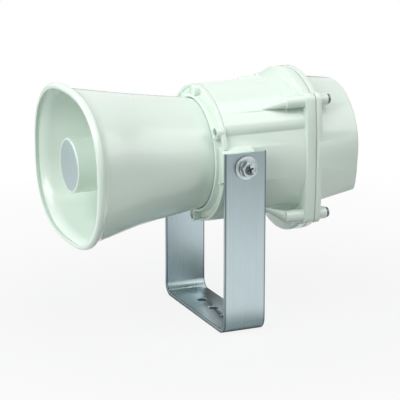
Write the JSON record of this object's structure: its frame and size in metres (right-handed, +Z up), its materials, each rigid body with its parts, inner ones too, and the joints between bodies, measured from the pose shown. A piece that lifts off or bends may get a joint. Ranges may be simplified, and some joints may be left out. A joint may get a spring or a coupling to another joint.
{
  "type": "horn loudspeaker",
  "caption": "Weatherproof folded-horn paging loudspeaker with a round bell that widens to an oval mouth, a flat-sided driver housing and a U bracket that lets it tilt.",
  "frame": {"origin": "centre of the bracket's mounting face, on the middle bolt hole", "axes": "+Z up through the mounting face, the mouth faces -Y, +X along the pivot axis"},
  "size_m": [0.1284, 0.2003, 0.1703],
  "materials": {
    "white_plastic": "glossy moulded plastic",
    "grey_plastic": "satin moulded plastic",
    "dark_plastic": "matte moulded plastic",
    "stainless": "brushed along the strip's width",
    "zinc_steel": "bright zinc plated",
    "satin_aluminium": "satin",
    "rubber": "matte",
    "brass": "turned",
    "dome_fabric": "resin treated cloth",
    "ferrite": "ground ferrite",
    "core_steel": "varnished sheets"
  },
  "bodies": {
    "stand": {"bracket": "stainless"},
    "horn": {"horn_bell": "white_plastic", "bell_seal": "rubber", "reflector_cup": "white_plastic", "cup_plate": "satin_aluminium", "throat_tube": "grey_plastic", "front_flange": "white_plastic", "flange_screws": "zinc_steel", "housing": "white_plastic", "rear_gasket": "rubber", "rear_cover": "white_plastic", "cover_screws": "zinc_steel", "pivot_insert_right": "brass", "pivot_insert_left": "brass", "pivot_screw_right": "zinc_steel", "pivot_screw_left": "zinc_steel", "spring_washer_right": "zinc_steel", "spring_washer_left": "zinc_steel", "flat_washer_right": "zinc_steel", "flat_washer_left": "zinc_steel", "phase_plug": "dark_plastic", "driver_adapter": "dark_plastic", "diaphragm_surround": "dome_fabric", "diaphragm_ring": "dark_plastic", "driver_top_plate": "zinc_steel", "driver_magnet": "ferrite", "driver_yoke": "zinc_steel", "driver_screws": "zinc_steel", "transformer_core": "core_steel", "transformer_winding": "brass", "transformer_strap": "zinc_steel", "transformer_screws": "zinc_steel", "terminal_block": "dark_plastic", "terminal_screws": "brass", "cable_grommet": "rubber", "cable_clamp": "dark_plastic", "clamp_screws": "zinc_steel"},
    "diaphragm": {"diaphragm_dome": "dome_fabric", "voice_coil": "brass"}
  },
  "joints": [
    {"name": "horn_tilt", "type": "hinge", "parent": "stand", "child": "horn", "pos_m": [0, 0, 0.116], "axis": [1, 0, 0], "range_deg": [-90, 40]},
    {"name": "diaphragm_travel", "type": "slide", "parent": "horn", "child": "diaphragm", "axis": [0, 1, 0], "range_m": [-0.00035, 0.00035], "stiffness_N_per_m": 4000, "deforming": ["diaphragm_surround"]}
  ]
}
